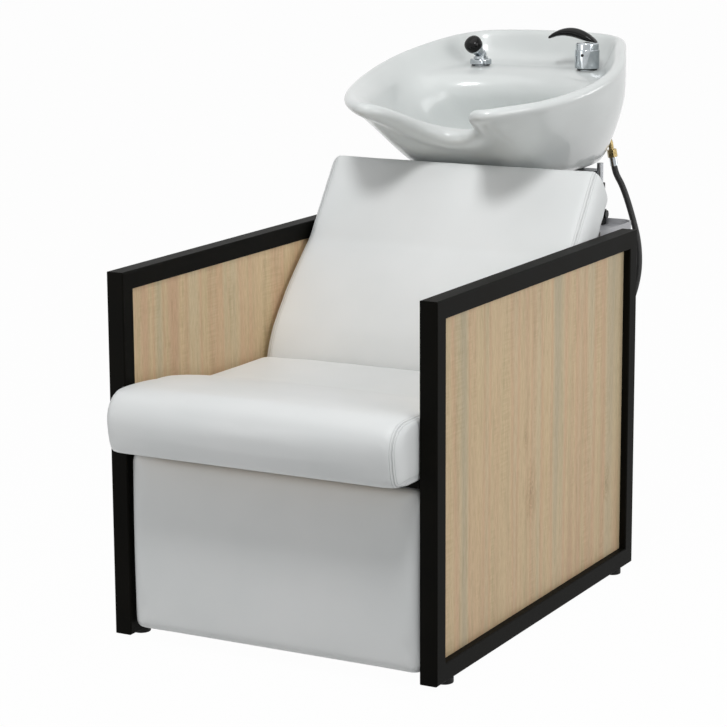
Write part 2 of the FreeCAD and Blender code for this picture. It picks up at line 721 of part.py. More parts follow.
def mixer_lever():
    """Cap that turns on the body, and the lever that tips on a barrel in the cap."""
    barrel_z = mixer_top + cap_height - barrel_radius
    across = V(0, 1, 0)
    socket = barrel_radius + turning_clearance
    length = 2 * (barrel_half + turning_clearance)
    side = mixer_y - length / 2
    cap = rod(mixer_x, mixer_y, mixer_top, mixer_radius - 1.5, cap_height)
    cap = cap.makeFillet(seal_thick, [cap.Edges[0]])
    cap = cap.cut(rod(mixer_x, side, barrel_z, socket, length, across))
    cap = cap.cut(box(mixer_x - socket, mixer_x + socket, side, side + length, barrel_z, mixer_top + cap_height))
    for angle in range(0, lever_lift + 3, 3):
        relief = lever_blade(lever_width + 2 * lug_gap)
        relief.rotate(V(mixer_x, mixer_y, barrel_z), across, angle)
        relief.translate(V(0, 0, -lug_gap))
        cap = cap.cut(relief)
        relief.translate(V(lug_gap, 0, 0))
        cap = cap.cut(relief)
    save("mixer_cap", cap)
    blade = lever_blade(lever_width)
    barrel = rod(mixer_x, mixer_y - barrel_half, barrel_z, barrel_radius, 2 * barrel_half, across)
    stem_half = 0.66 * barrel_radius
    stem = box(mixer_x - stem_half, mixer_x + stem_half, mixer_y - barrel_half, mixer_y + barrel_half,
               barrel_z, mixer_top + lever_arch[0][1] + lever_thick / 2)
    save("lever", blade.fuse(barrel).fuse(stem).removeSplitter())


def bent_tube(points, radius):
    """A round tube along straight runs joined by tangent arcs."""
    edges = []
    start = points[0]
    for before, corner, after in zip(points, points[1:], points[2:]):
        back, ahead = (before - corner), (after - corner)
        turn = math.pi - back.getAngle(ahead)
        reach = 0.45 * min(back.Length, ahead.Length)
        bend = reach / math.tan(turn / 2)
        back.normalize()
        ahead.normalize()
        first, last = corner + back * reach, corner + ahead * reach
        half_way = (back + ahead).normalize()
        centre = corner + half_way * (bend / math.cos(turn / 2))
        middle = centre - half_way * bend
        edges.append(Part.LineSegment(start, first).toShape())
        edges.append(Part.Arc(first, middle, last).toShape())
        start = last
    edges.append(Part.LineSegment(start, points[-1]).toShape())
    path = Part.Wire(edges)
    along = points[1] - points[0]
    section = Part.Wire([Part.makeCircle(radius, points[0], along)])
    tube_solid = path.makePipeShell([section], True, False)
    return tube_solid, path.Length


def outlet_path():
    return [V(mixer_x + x, mixer_y + y, shank_low + z) for x, y, z in outlet_corners]


def turned(x, y, z, shape_at_origin, direction):
    """Stands a piece made along +Z at the origin along a direction."""
    shape = shape_at_origin.copy()
    shape.Placement = FreeCAD.Placement(V(x, y, z), FreeCAD.Rotation(V(0, 0, 1), direction))
    return shape


def hose():
    """Outlet tail under the mixer, the hose's fittings and its hanging loop up to the holder."""
    tail_points = outlet_path()
    save("hose_outlet", bent_tube(tail_points, outlet_radius)[0])
    nut_at = tail_points[-1]
    down = nut_at - tail_points[-2]
    down.normalize()
    nut = hexagon(0, 0, 0, hose_nut_flats, hose_nut_height)
    save("hose_nut", turned(nut_at.x, nut_at.y, nut_at.z, nut, down))
    ferrule_at = nut_at + down * hose_nut_height
    ferrule = Part.makeCylinder(ferrule_radius, ferrule_length)
    save("hose_ferrule", turned(ferrule_at.x, ferrule_at.y, ferrule_at.z, ferrule, down))
    first = ferrule_at + down * ferrule_length
    route = [first, first + down * 2.5 * hose_radius]
    route += [V(x, basin_rear + y, deck_height + z) for x, y, z in hose_route]
    route.append(V(holder_x, holder_y, deck_height - holder_shank_length + 3))
    loop, length = bent_tube(route, hose_radius)
    print("hose length", round(length))
    save("hose", loop)


def holder():
    """Deck holder with its long hose sleeve, and the handset that rests in it."""
    base = deck_height + washer_thick
    low = deck_height - holder_shank_length
    top = base + nut_height
    body = rod(holder_x, holder_y, base, holder_radius, nut_height)
    body = body.makeFillet(3.0, [body.Edges[0]])
    body = body.fuse(rod(holder_x, holder_y, low, holder_shank_radius, base - low))
    body = body.cut(rod(holder_x, holder_y, low, holder_bore, top - low)).removeSplitter()
    save("holder", body)
    nut = hexagon(holder_x, holder_y, deck_under - nut_height, 2 * holder_shank_radius + 9, nut_height)
    fit = holder_shank_radius + turning_clearance
    save("holder_nut", nut.cut(rod(holder_x, holder_y, deck_under - nut_height, fit, nut_height)))
    handset(top)


def handset(seat):
    """Stem that stands in the holder, leaning neck and spray head, and the hose tail below the stem."""
    stem_low = seat - nut_height - handset_seat
    stem_radius = holder_bore - turning_clearance
    collar_thick = 4.0
    neck_start = seat + 2 * collar_thick
    stem = rod(holder_x, holder_y, stem_low, stem_radius, neck_start - stem_low)
    collar = rod(holder_x, holder_y, seat, holder_bore + seal_thick, collar_thick)
    elbow = Part.makeSphere(stem_radius, V(holder_x, holder_y, neck_start))
    lean = V(*neck_lean)
    lean.normalize()
    neck = turned(holder_x, holder_y, neck_start, Part.makeCone(neck_radius, spray_neck_radius, neck_length), lean)
    body = stem.fuse(collar).fuse(elbow).fuse(neck)
    body = body.cut(rod(holder_x, holder_y, stem_low, hose_radius - seal_thick / 2, nut_height)).removeSplitter()
    save("handset", body)
    head_at = V(holder_x, holder_y, neck_start) + lean * neck_length
    rear = turned(head_at.x, head_at.y, head_at.z, Part.makeCone(spray_neck_radius, spray_radius, spray_shoulder), lean)
    face_at = head_at + lean * spray_shoulder
    face = turned(face_at.x, face_at.y, face_at.z, Part.makeCylinder(spray_radius, spray_thick), lean)
    face = face.makeFillet(5.0, [face.Edges[0]])
    save("spray_head", rear.fuse(face).removeSplitter())
    save("handset_tail", rod(holder_x, holder_y, stem_low - tail_length, hose_radius, tail_length))


def main():
    ceramic = basin_body()
    global y_middle
    y_middle = (ceramic.optimalBoundingBox(False, False).YMax - seat_overhang) / 2
    print("middle", y_middle)
    save("basin", ceramic)
    side_frame("left", -half_width)
    side_frame("right", half_width - tube)
    rail_in = cross_rails()
    seat()
    backrest()
    front_panel(rail_in)
    basin_stand()
    tilt_pivots()
    cradle()
    waste()
    mixer()
    mixer_lever()
    hose()
    holder()


main()
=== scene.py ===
# %% [markdown]
# # A salon backwash unit, dressed for the camera
# The unit is a padded chair between two welded side frames, with a tilting ceramic basin behind
# the backrest. The solid model arrives as a fixed frame: every tube, board and fitting is already
# in its place. Here each of them gets its finish, and the soft and glossy pieces that a plain
# solid can't show well are modelled again around that frame.

# %% The frame and its box
import math

import bpy
from mathutils import Matrix, Vector
from mathutils.kdtree import KDTree


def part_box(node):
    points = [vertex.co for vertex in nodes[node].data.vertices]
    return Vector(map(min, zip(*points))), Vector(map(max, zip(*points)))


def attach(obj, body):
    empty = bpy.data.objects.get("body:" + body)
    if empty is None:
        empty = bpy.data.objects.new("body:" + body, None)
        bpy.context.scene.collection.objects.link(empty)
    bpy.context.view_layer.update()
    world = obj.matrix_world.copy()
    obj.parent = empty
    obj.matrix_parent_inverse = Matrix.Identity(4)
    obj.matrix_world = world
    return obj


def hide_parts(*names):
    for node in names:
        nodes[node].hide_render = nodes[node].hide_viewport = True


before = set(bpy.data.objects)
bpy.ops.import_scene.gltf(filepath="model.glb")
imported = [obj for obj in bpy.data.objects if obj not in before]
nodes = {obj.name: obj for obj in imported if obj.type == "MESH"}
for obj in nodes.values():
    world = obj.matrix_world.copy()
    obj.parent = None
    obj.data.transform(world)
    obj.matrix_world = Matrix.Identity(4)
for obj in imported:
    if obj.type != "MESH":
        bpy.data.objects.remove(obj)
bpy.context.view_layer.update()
scene = bpy.context.scene
scene.view_settings.view_transform = "Standard"
frame_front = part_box("left_front_post")[0].y
print("frame loaded:", len(nodes), "nodes")


def at(x, y, z):
    """A place in millimetres: x from the middle, y back from the side frames' front, z up from the floor."""
    return Vector((x / 1000, frame_front + y / 1000, z / 1000))


# %% [markdown]
# ## Camera
# The product photograph was taken with a long lens from the front, a little above the seat and to
# the sitter's left. A long lens keeps the tube frames almost parallel. The camera is given as an
# angle round the unit, a height angle and a distance, the way a photographer would note it.

# %% Camera
camera_azimuth = math.radians(28.5)
camera_elevation = math.radians(11.95)
camera_roll = math.radians(-0.3)
camera_distance = 4.54
camera_target = at(-42, 406, 433)
camera_reach = 50
sensor_width = 36.0
focal_length = 126.6

back = Vector((math.sin(camera_azimuth) * math.cos(camera_elevation),
               -math.cos(camera_azimuth) * math.cos(camera_elevation),
               math.sin(camera_elevation)))
level = Vector((0, 0, 1)).cross(back).normalized()
upward = back.cross(level)
right = level * math.cos(camera_roll) + upward * math.sin(camera_roll)
up = upward * math.cos(camera_roll) - level * math.sin(camera_roll)
camera_data = bpy.data.cameras.new("camera")
camera_data.sensor_width = sensor_width
camera_data.lens = focal_length
camera_data.clip_end = camera_reach
camera = bpy.data.objects.new("camera", camera_data)
scene.collection.objects.link(camera)
turn = Matrix((right, up, back)).transposed().to_4x4()
camera.matrix_world = Matrix.Translation(camera_target + back * camera_distance) @ turn
scene.camera = camera
print("camera at", [round(c, 3) for c in camera.matrix_world.translation])

# %% [markdown]
# ## Colours and nodes
# Colours are written as sRGB hex values, as a paint chart gives them, and turned to linear light
# once. One helper adds a shader node with its settings and its links, so every finish below reads
# as a short recipe. The size of a pattern is a length in millimetres that could be measured on the
# real surface, and a second helper turns it into repeats per metre, which is what a texture takes.

# %% Colour and node helpers
def colour(hex_value):
    """Linear colour of an sRGB hex value."""
    channels = [int(hex_value[k:k + 2], 16) / 255 for k in (1, 3, 5)]
    linear = [c / 12.92 if c <= 0.04045 else ((c + 0.055) / 1.055) ** 2.4 for c in channels]
    return (*linear, 1.0)


def per_metre(size):
    """How often a pattern of a size in millimetres repeats in a metre."""
    return 1000 / size


def node(tree, kind, sockets=None, stops=(), **settings):
    """Adds a shader node with its options, its sockets and, for a colour ramp, its stops.

    A socket takes a value, an output of another node, or a node, which stands for its first output.
    """
    made = tree.nodes.new(kind)
    for name, value in settings.items():
        setattr(made, name, value)
    for socket, value in (sockets or {}).items():
        if isinstance(value, bpy.types.Node):
            value = value.outputs[0]
        if isinstance(value, bpy.types.NodeSocket):
            tree.links.new(value, made.inputs[socket])
        else:
            made.inputs[socket].default_value = value
    if stops:
        elements = made.color_ramp.elements
        while len(elements) < len(stops):
            elements.new(0.5)
        for element, (place, tone) in zip(elements, stops):
            element.position = place
            element.color = colour(tone)
    return made


def new_finish(name):
    """A material with an empty node tree."""
    finish = bpy.data.materials.new(name)
    finish.use_nodes = True
    finish.node_tree.nodes.clear()
    return finish, finish.node_tree


def paint(finish, *names):
    """Gives CAD nodes a finish."""
    for name in names:
        slots = nodes[name].data.materials
        slots.clear()
        slots.append(finish)


# %% [markdown]
# ## Hose
# The hand shower hangs on a black hose that leaves the mixer's tail by a brass nut, sags in one
# loop behind the unit and climbs back into the sleeve under the holder. A NURBS curve through the
# route's corner points gives the even bends of a rubber hose under its own weight. Its thickness is
# given as each point's radius, so that the curve's own box stays as tight as the hose.

# %% Hose route
hose_diameter = 0.012
hose_length = 1.076
hose_route = [
    (168.7, 1033.2, 724.5), (170.9, 1034.6, 709.7), (183, 1042, 686), (199, 1048, 636),
    (217, 1052, 568), (215, 1052, 495), (180, 1052, 408), (112, 1052, 340), (20, 1052, 308),
    (-70, 1052, 332), (-130, 1052, 400), (-155, 1052, 490), (-153, 1046, 580), (-131, 1032, 664),
    (-108, 1011, 722), (-103, 1004, 763)]
hose_curve = bpy.data.curves.new("hand_shower_hose", "CURVE")
hose_curve.dimensions = "3D"
hose_curve.bevel_depth = 1.0
hose_curve.bevel_resolution = 6
hose_curve.resolution_u = 16
hose_line = hose_curve.splines.new("NURBS")
hose_line.points.add(len(hose_route) - 1)
for point, place in zip(hose_line.points, hose_route):
    point.co = (*at(*place), 1)
    point.radius = hose_diameter / 2
hose_line.order_u = 3
hose_line.use_endpoint_u = True
hose = bpy.data.objects.new("hand_shower_hose", hose_curve)
scene.collection.objects.link(hose)
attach(hose, "basin_unit")
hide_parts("hose")

# %% [markdown]
# The hose is rubber in a woven black jacket. Threads run round it both ways, and where one lies on
# top its colour is painted a little lighter, a painted highlight for the light it would catch, so the
# hose is a broken dark grey and not a flat black. Each way is a sine along the hose that leans with
# the way round; the higher of the two is the thread on top.

# %% Hose finish
# Threads of about 1 mm, drawn 2.56 mm apart so that they show
thread_pitch = 2.56
threads_round = 8
thread_relief = 0.0003
hose_finish, hose_tree = new_finish("woven_hose_jacket")
hose_uv = node(hose_tree, "ShaderNodeTexCoord").outputs["UV"]
threads_along = hose_length * per_metre(thread_pitch)
braids = []
for lean in (1, -1):
    threads = node(hose_tree, "ShaderNodeMapping",
                   {"Vector": hose_uv, "Scale": (threads_along, lean * threads_round, 1)})
    cross = node(hose_tree, "ShaderNodeSeparateXYZ", {0: threads})
    both = node(hose_tree, "ShaderNodeMath", {0: cross.outputs[0], 1: cross.outputs[1]}, operation="ADD")
    turns = node(hose_tree, "ShaderNodeMath", {0: both, 1: 2 * math.pi}, operation="MULTIPLY")
    braids.append(node(hose_tree, "ShaderNodeMath", {0: turns}, operation="SINE"))
braid = node(hose_tree, "ShaderNodeMath", {0: braids[0], 1: braids[1]}, operation="MAXIMUM")
# Painted highlight: the thread on top is coloured lighter, as if it caught the light
braid_tone_with_painted_highlight = node(hose_tree, "ShaderNodeValToRGB", {"Fac": braid}, [(0.2, "#0b0b0b"), (0.9, "#1d1d1d")])
braid_relief = node(hose_tree, "ShaderNodeBump",
                    {"Height": braid, "Strength": 0.5, "Distance": thread_relief})
hose_shader = node(hose_tree, "ShaderNodeBsdfPrincipled",
                   {"Base Color": braid_tone_with_painted_highlight, "Roughness": 0.5, "Normal": braid_relief})
node(hose_tree, "ShaderNodeOutputMaterial", {"Surface": hose_shader})
hose_curve.materials.append(hose_finish)
print("hose of", hose_length, "m")

# %% [markdown]
# ## Coated steel and moulded pieces
# The welded side frames are powder coated: a thick satin black skin with a fine orange-peel texture
# from the oven. A plain black would look like a hole in the picture, so the coat gets a very small
# bump at the size of the real ripples, about a millimetre, and a roughness that drifts a little.
# Moulded plastic and rubber take the same recipe with other numbers.

# %% Coated steel and moulded pieces
cloud_size = 71.4
gloss_drift = 0.05
skin_relief = 0.0004


def coated(name, dark, light, rough, ripple, strength, shine=0.5):
    """A coated or moulded skin: two near tones, a drifting gloss and ripples of a size in millimetres."""
    finish, tree = new_finish(name)
    place = node(tree, "ShaderNodeTexCoord").outputs["Object"]
    cloud = node(tree, "ShaderNodeTexNoise", {"Vector": place, "Scale": per_metre(cloud_size), "Detail": 3.0})
    tones = node(tree, "ShaderNodeValToRGB", {"Fac": cloud}, [(0.3, dark), (0.7, light)])
    gloss = node(tree, "ShaderNodeMapRange",
                 {"Value": cloud, "To Min": rough - gloss_drift, "To Max": rough + gloss_drift})
    peel = node(tree, "ShaderNodeTexNoise", {"Vector": place, "Scale": per_metre(ripple), "Detail": 2.0})
    relief = node(tree, "ShaderNodeBump", {"Height": peel, "Strength": strength, "Distance": skin_relief})
    shader = node(tree, "ShaderNodeBsdfPrincipled", {
        "Base Color": tones, "Roughness": gloss, "Specular IOR Level": shine, "Normal": relief})
    node(tree, "ShaderNodeOutputMaterial", {"Surface": shader})
    return finish


# Powder coat, baked on welded tube: satin black that keeps its shape by a soft, broken sheen
frame_black = coated("black_powder_coat", "#0b0b09", "#100f0c", 0.5, 1.11, 0.22, 0.03)
# Powder coat on folded sheet: an even light grey with a wider sheen
shelf_grey = coated("grey_powder_coat", "#a5a6aa", "#b2b3b7", 0.42, 0.91, 0.15)
# Steel blackened in an oil bath: dull, with a little shine along the edges
black_steel = coated("blackened_steel", "#0d0d0d", "#151515", 0.4, 0.67, 0.2, 0.2)
# Polyethylene and rubber, pressed in a spark-eroded mould: dull blacks. Their grit is about 0.1 mm
# and is drawn four times as coarse, so that it shows in a near view
foot_plastic = coated("moulded_polyethylene", "#0e0e0e", "#161616", 0.55, 0.455, 0.25, 0.2)
rubber = coated("moulded_rubber", "#151515", "#1d1d1d", 0.75, 0.385, 0.3)
# ABS from a polished mould: a deep black that shows the lamps as sharp, bright lines
gloss_black = coated("polished_abs", "#050505", "#090909", 0.14, 1.43, 0.02, 0.2)
for side in ("left", "right"):
    paint(frame_black, *[side + "_" + piece for piece in (
        "top_rail", "bottom_rail", "front_post", "rear_post", "seat_rail", "backrest_stay")])
    paint(foot_plastic, side + "_front_foot", side + "_rear_foot")
paint(frame_black, "front_cross_rail", "rear_lower_rail", "rear_middle_rail", "rear_upper_rail",
      "seat_middle_rail", "backrest_rail", "stand_gussets")
paint(shelf_grey, "stand_shelf")
paint(black_steel, "pivot_brackets", "pivot_bolts", "upright_clamps")
paint(rubber, "cradle_pad", "waste_washer", "deck_washers", "handset_tail")
paint(gloss_black, "lever", "spray_head", "mixer_dot")
print("painted and moulded pieces finished")

# %% [markdown]
# ## Oak-look boards
# The side panels are chipboard with a printed oak paper, the grain upright, pressed under a matt
# melamine skin. The print is made of soft bands two to eight centimetres wide, pinkish beside straw
# and olive grey, with fine fibres, a few darker streaks, patches of faint saw marks across the grain
# and here and there a small knot. Each of these is one texture on object coordinates, stretched
# along Z, and they are multiplied together as a printer lays one ink over another.

# %% Oak-look boards
# How far the grain wanders to the side, in metres, and over what length, in millimetres
grain_sway = (0.008, 0.008, 0.0)
sway_length = 200
fibre_relief = 0.0003
laid_over = {"data_type": "RGBA", "blend_type": "MULTIPLY"}
# A knot's height in widths of it, and its reach through the board in metres
knot_height = 2.6
knot_reach = 10
knot_rings = [
    (0.0, "#bcb5ad"), (0.1, "#cbc5bd"), (0.18, "#f9f7f3"), (0.27, "#d7d1c8"), (0.37, "#fcfaf8"),
    (0.48, "#e2ddd6"), (0.6, "#fcfaf8"), (0.74, "#efebe6"), (1.0, "#ffffff")]


def oak(name, shift, knots):
    """Upright oak print; shift moves the bands so that the two sides differ, knots are (y, z, size)."""
    finish, tree = new_finish(name)
    place = node(tree, "ShaderNodeTexCoord").outputs["Object"]
    moved = node(tree, "ShaderNodeMapping", {"Vector": place, "Location": shift})
    sway = node(tree, "ShaderNodeTexNoise", {"Vector": moved, "Scale": per_metre(sway_length), "Detail": 1.0})
    swayed = node(tree, "ShaderNodeVectorMath", {0: sway.outputs["Color"], 1: grain_sway, 2: moved},
                  operation="MULTIPLY_ADD")

    def ink(stretch, width, detail, rough, stops):
        """One layer of the print: marks of a width in millimetres, drawn out by a stretch below 1."""
        drawn = node(tree, "ShaderNodeMapping", {"Vector": swayed, "Scale": stretch})
        marks = node(tree, "ShaderNodeTexNoise", {
            "Vector": drawn, "Scale": per_metre(width), "Detail": detail, "Roughness": rough})
        return node(tree, "ShaderNodeValToRGB", {"Fac": marks}, stops)

    bands = ink((1, 1, 0.02), 58.82, 1.5, 0.5, [
        (0.32, "#c6b698"), (0.41, "#d5c19d"), (0.49, "#d6b592"), (0.57, "#d9c29b"), (0.68, "#cfad8c")])
    narrow = ink((1, 1, 0.05), 17.24, 3.0, 0.5, [
        (0.34, "#f6f8f6"), (0.48, "#fdfdfd"), (0.6, "#ffffff"), (0.7, "#fdfaf7")])
    streaks = ink((1, 1, 0.07), 7.692, 4.0, 0.65, [(0.32, "#dad6ce"), (0.45, "#ffffff")])
    # Real fibres are about 0.3 mm wide; these are drawn coarser so that they show
    fibres = ink((1, 1, 0.11), 2.3256, 4.0, 0.7, [(0.34, "#e5e1da"), (0.58, "#ffffff")])
    saw_marks = ink((0.2, 0.06, 1), 3.846, 1.0, 0.5, [(0.4, "#f6f5f1"), (0.6, "#ffffff")])
    saw_patches = ink((1, 1, 0.12), 41.67, 2.0, 0.5, [(0.52, "#000000"), (0.62, "#ffffff")])
    tone = bands.outputs[0]
    for share, layer in ((1.0, narrow), (0.4, streaks), (0.7, fibres)):
        tone = node(tree, "ShaderNodeMix", {0: share, 6: tone, 7: layer}, **laid_over).outputs[2]
    sawn = node(tree, "ShaderNodeMix", {0: 0.9, 6: tone, 7: saw_marks}, **laid_over).outputs[2]
    tone = node(tree, "ShaderNodeMix", {0: saw_patches, 6: tone, 7: sawn}, data_type="RGBA").outputs[2]
    for y, z, size in knots:
        centred = node(tree, "ShaderNodeMapping", {
            "Vector": place, "Location": (0, y, z), "Scale": (knot_reach, size, knot_height * size)},
            vector_type="TEXTURE")
        rough = node(tree, "ShaderNodeTexNoise", {"Vector": centred, "Scale": 2.2, "Detail": 3.0})
        bent = node(tree, "ShaderNodeVectorMath", {0: rough.outputs["Color"], 1: (0, 1.1, 1.1), 2: centred},
                    operation="MULTIPLY_ADD")
        away = node(tree, "ShaderNodeVectorMath", {0: bent, 1: (0, 0.55, 0.55)}, operation="DISTANCE")
        rings = node(tree, "ShaderNodeValToRGB", {"Fac": away.outputs["Value"]}, knot_rings)
        tone = node(tree, "ShaderNodeMix", {0: 0.85, 6: tone, 7: rings}, **laid_over).outputs[2]
    relief = node(tree, "ShaderNodeBump", {"Height": fibres, "Strength": 0.2, "Distance": fibre_relief})
    shader = node(tree, "ShaderNodeBsdfPrincipled", {
        "Base Color": tone, "Roughness": 0.5, "Specular IOR Level": 0.35, "Normal": relief})
    node(tree, "ShaderNodeOutputMaterial", {"Surface": shader})
    return finish


right_knots = [(-0.133, 0.244, 0.024), (0.196, 0.185, 0.017), (-0.155, 0.348, 0.012)]
left_knots = [(0.05, 0.52, 0.014)]
paint(oak("oak_print_right", (0.0, 0.0, 0.0), right_knots), "right_panel")
paint(oak("oak_print_left", (0.3, 0.41, 0.17), left_knots), "left_panel")

# Birch plywood, sawn and left bare: a warm, dry surface with its grain from front to back
plywood, ply_tree = new_finish("bare_plywood")
ply_place = node(ply_tree, "ShaderNodeTexCoord").outputs["Object"]
ply_drawn = node(ply_tree, "ShaderNodeMapping", {"Vector": ply_place, "Scale": (1, 0.06, 1)})
ply_figure = node(ply_tree, "ShaderNodeTexNoise", {
    "Vector": ply_drawn, "Scale": per_metre(16.67), "Detail": 4.0})
ply_tone = node(ply_tree, "ShaderNodeValToRGB", {"Fac": ply_figure}, [
    (0.3, "#a98a5e"), (0.5, "#c5a678"), (0.7, "#d2b88e")])
ply_combed = node(ply_tree, "ShaderNodeMapping", {"Vector": ply_place, "Scale": (1, 0.08, 1)})
ply_fibres = node(ply_tree, "ShaderNodeTexNoise", {
    "Vector": ply_combed, "Scale": per_metre(2), "Detail": 2.0})
ply_relief = node(ply_tree, "ShaderNodeBump", {
    "Height": ply_fibres, "Strength": 0.2, "Distance": fibre_relief})
ply_shader = node(ply_tree, "ShaderNodeBsdfPrincipled", {
    "Base Color": ply_tone, "Roughness": 0.65, "Normal": ply_relief})
node(ply_tree, "ShaderNodeOutputMaterial", {"Surface": ply_shader})
paint(plywood, "seat_board", "backrest_board", "front_panel_board")
print("boards finished")

# %% [markdown]
# ## Glaze and metal
# The basin is vitreous china, cast and glazed, so its white has a soft sheen of its own under the
# sharp reflections of a clear coat. Chrome is a mirror with a very slight haze; brass and zinc are
# duller, with marks from turning and wiping.

# %% Glaze and metal
mark_relief = 0.0003


def metal(name, dark, light, rough, size, stretch=(1, 1, 1)):
    """Bare or plated metal with an uneven gloss; size is that of its marks in millimetres."""
    finish, tree = new_finish(name)
    place = node(tree, "ShaderNodeTexCoord").outputs["Object"]
    drawn = node(tree, "ShaderNodeMapping", {"Vector": place, "Scale": stretch})
    marks = node(tree, "ShaderNodeTexNoise", {"Vector": drawn, "Scale": per_metre(size), "Detail": 3.0})
    tones = node(tree, "ShaderNodeValToRGB", {"Fac": marks}, [(0.35, dark), (0.65, light)])
    gloss = node(tree, "ShaderNodeMapRange", {"Value": marks, "To Min": rough * 0.7, "To Max": rough * 1.4})
    relief = node(tree, "ShaderNodeBump", {"Height": marks, "Strength": 0.03, "Distance": mark_relief})
    shader = node(tree, "ShaderNodeBsdfPrincipled", {
        "Base Color": tones, "Roughness": gloss, "Metallic": 1.0, "Normal": relief})
    node(tree, "ShaderNodeOutputMaterial", {"Surface": shader})
    return finish


# Chrome plate, polished: a mirror, with clouds as wide as the stroke of a cloth
chrome = metal("polished_chrome_plate", "#a2a8ac", "#babfc2", 0.06, 16.67)
# Brass, turned and bare: a dull gold. The tool's marks are about 0.2 mm and are drawn coarser to show
brass = metal("turned_brass", "#83734e", "#a9976c", 0.26, 2)
# Zinc plate on drawn steel: a soft grey with streaks along the drawing, drawn coarser to show
zinc = metal("zinc_plated_steel", "#8f9194", "#a9abae", 0.34, 3.846, (1, 1, 0.1))
paint(chrome, "mixer_body", "mixer_cap", "holder", "handset", "waste_flange", "waste_strainer",
      "hose_ferrule")
paint(brass, "mixer_nut", "holder_nut", "hose_nut", "waste_nut", "hose_outlet", "supply_tails")
paint(zinc, "left_upright", "right_upright", "basin_cradle")

# Vitreous china, glazed: a cool white, and reflections that waver with the flow of the glaze
glaze_cloud = 111.1
glaze_wave = 22.22
glaze_relief = 0.001
glaze, glaze_tree = new_finish("glazed_vitreous_china")
glaze_place = node(glaze_tree, "ShaderNodeTexCoord").outputs["Object"]
glaze_drift = node(glaze_tree, "ShaderNodeTexNoise", {
    "Vector": glaze_place, "Scale": per_metre(glaze_cloud), "Detail": 2.0})
glaze_tone = node(glaze_tree, "ShaderNodeValToRGB", {"Fac": glaze_drift}, [
    (0.3, "#d6dad9"), (0.7, "#dce0df")])
glaze_waves = node(glaze_tree, "ShaderNodeTexNoise", {
    "Vector": glaze_place, "Scale": per_metre(glaze_wave), "Detail": 1.0})
glaze_flow = node(glaze_tree, "ShaderNodeBump", {
    "Height": glaze_waves, "Strength": 0.04, "Distance": glaze_relief})
glaze_shader = node(glaze_tree, "ShaderNodeBsdfPrincipled", {
    "Base Color": glaze_tone, "Roughness": 0.3, "Coat Weight": 0.5, "Coat Roughness": 0.06,
    "Normal": glaze_flow})
node(glaze_tree, "ShaderNodeOutputMaterial", {"Surface": glaze_shader})
paint(glaze, "basin")
print("glaze and metal finished")

# %% [markdown]
# ## Mixer lever
# The lever is a glossy black crescent, thick over the mixer and drawn out to a thin tip, with a
# chrome liner along its underside. A disc is set up at the tail and extruded from station to station
# along the arch, scaled at each one, which is how such a horn shape is drawn by hand. The faces that
# look straight down then get the chrome.

# %% Mixer lever
mixer_place = at(122, 1004, 948)
lever_sides = 20
liner_slope = -0.93
# Stations in millimetres: x from the mixer's axis, top, thickness and half width
lever_stations = [
    (18.5, 14.6, 3.0, 7.0), (17, 17.6, 5.0, 9.2), (12, 22.8, 9.0, 10.2), (4, 28.8, 14.6, 10.8),
    (-6, 34.4, 18.6, 11.0), (-18, 38.6, 19.4, 11.2), (-30, 40.4, 18.2, 11.2), (-42, 39.8, 16.0, 11.0),
    (-54, 37.1, 13.4, 10.4), (-65, 32.6, 10.8, 9.4), (-74, 27.2, 8.4, 8.0), (-79, 23.2, 6.0, 6.0),
    (-80.5, 21.6, 3.6, 4.0)]
lever_middles = [mixer_place + Vector((x, 0, top - thick / 2)) / 1000
                 for x, top, thick, half in lever_stations]
tail_thick, tail_half = lever_stations[0][2:]
bpy.ops.object.select_all(action="DESELECT")
bpy.ops.mesh.primitive_circle_add(vertices=lever_sides, radius=0.001, fill_type="NGON",
                                  rotation=(0, -math.pi / 2, 0))
lever = bpy.context.object
lever.name = lever.data.name = "mixer_lever_blade"
bpy.ops.object.transform_apply(location=True, rotation=True)
bpy.ops.object.mode_set(mode="EDIT")
bpy.ops.mesh.select_all(action="SELECT")
bpy.ops.transform.translate(value=lever_middles[0])
bpy.ops.transform.resize(value=(1, tail_half, tail_thick / 2), center_override=lever_middles[0])
for k in range(1, len(lever_stations)):
    (thick, half), (new_thick, new_half) = lever_stations[k - 1][2:], lever_stations[k][2:]
    bpy.ops.mesh.extrude_region_move(
        TRANSFORM_OT_translate={"value": lever_middles[k] - lever_middles[k - 1]})
    bpy.ops.transform.resize(value=(1, new_half / half, new_thick / thick), center_override=lever_middles[k])
bpy.ops.mesh.select_all(action="SELECT")
bpy.ops.mesh.normals_make_consistent(inside=False)
bpy.ops.object.mode_set(mode="OBJECT")
lever.data.materials.append(gloss_black)
lever.data.materials.append(chrome)
for polygon in lever.data.polygons:
    polygon.use_smooth = True
    polygon.material_index = 1 if polygon.normal.z < liner_slope else 0
lever_round = lever.modifiers.new("round", "SUBSURF")
lever_round.levels = lever_round.render_levels = 2
bpy.ops.object.modifier_apply(modifier=lever_round.name)
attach(lever, "mixer_lever")
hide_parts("lever")
print("lever of", len(lever.data.polygons), "faces")

# %% [markdown]
# ## Spray head
# The hand shower ends in a black dome over a chrome ring. Both are turned on a lathe: a disc is
# extruded along the axis and scaled at each station, then the finished piece is leaned over to the
# neck's direction and its place is applied to its mesh.

# %% Spray head
lathe_sides = 40
sharp_edge = math.radians(35)


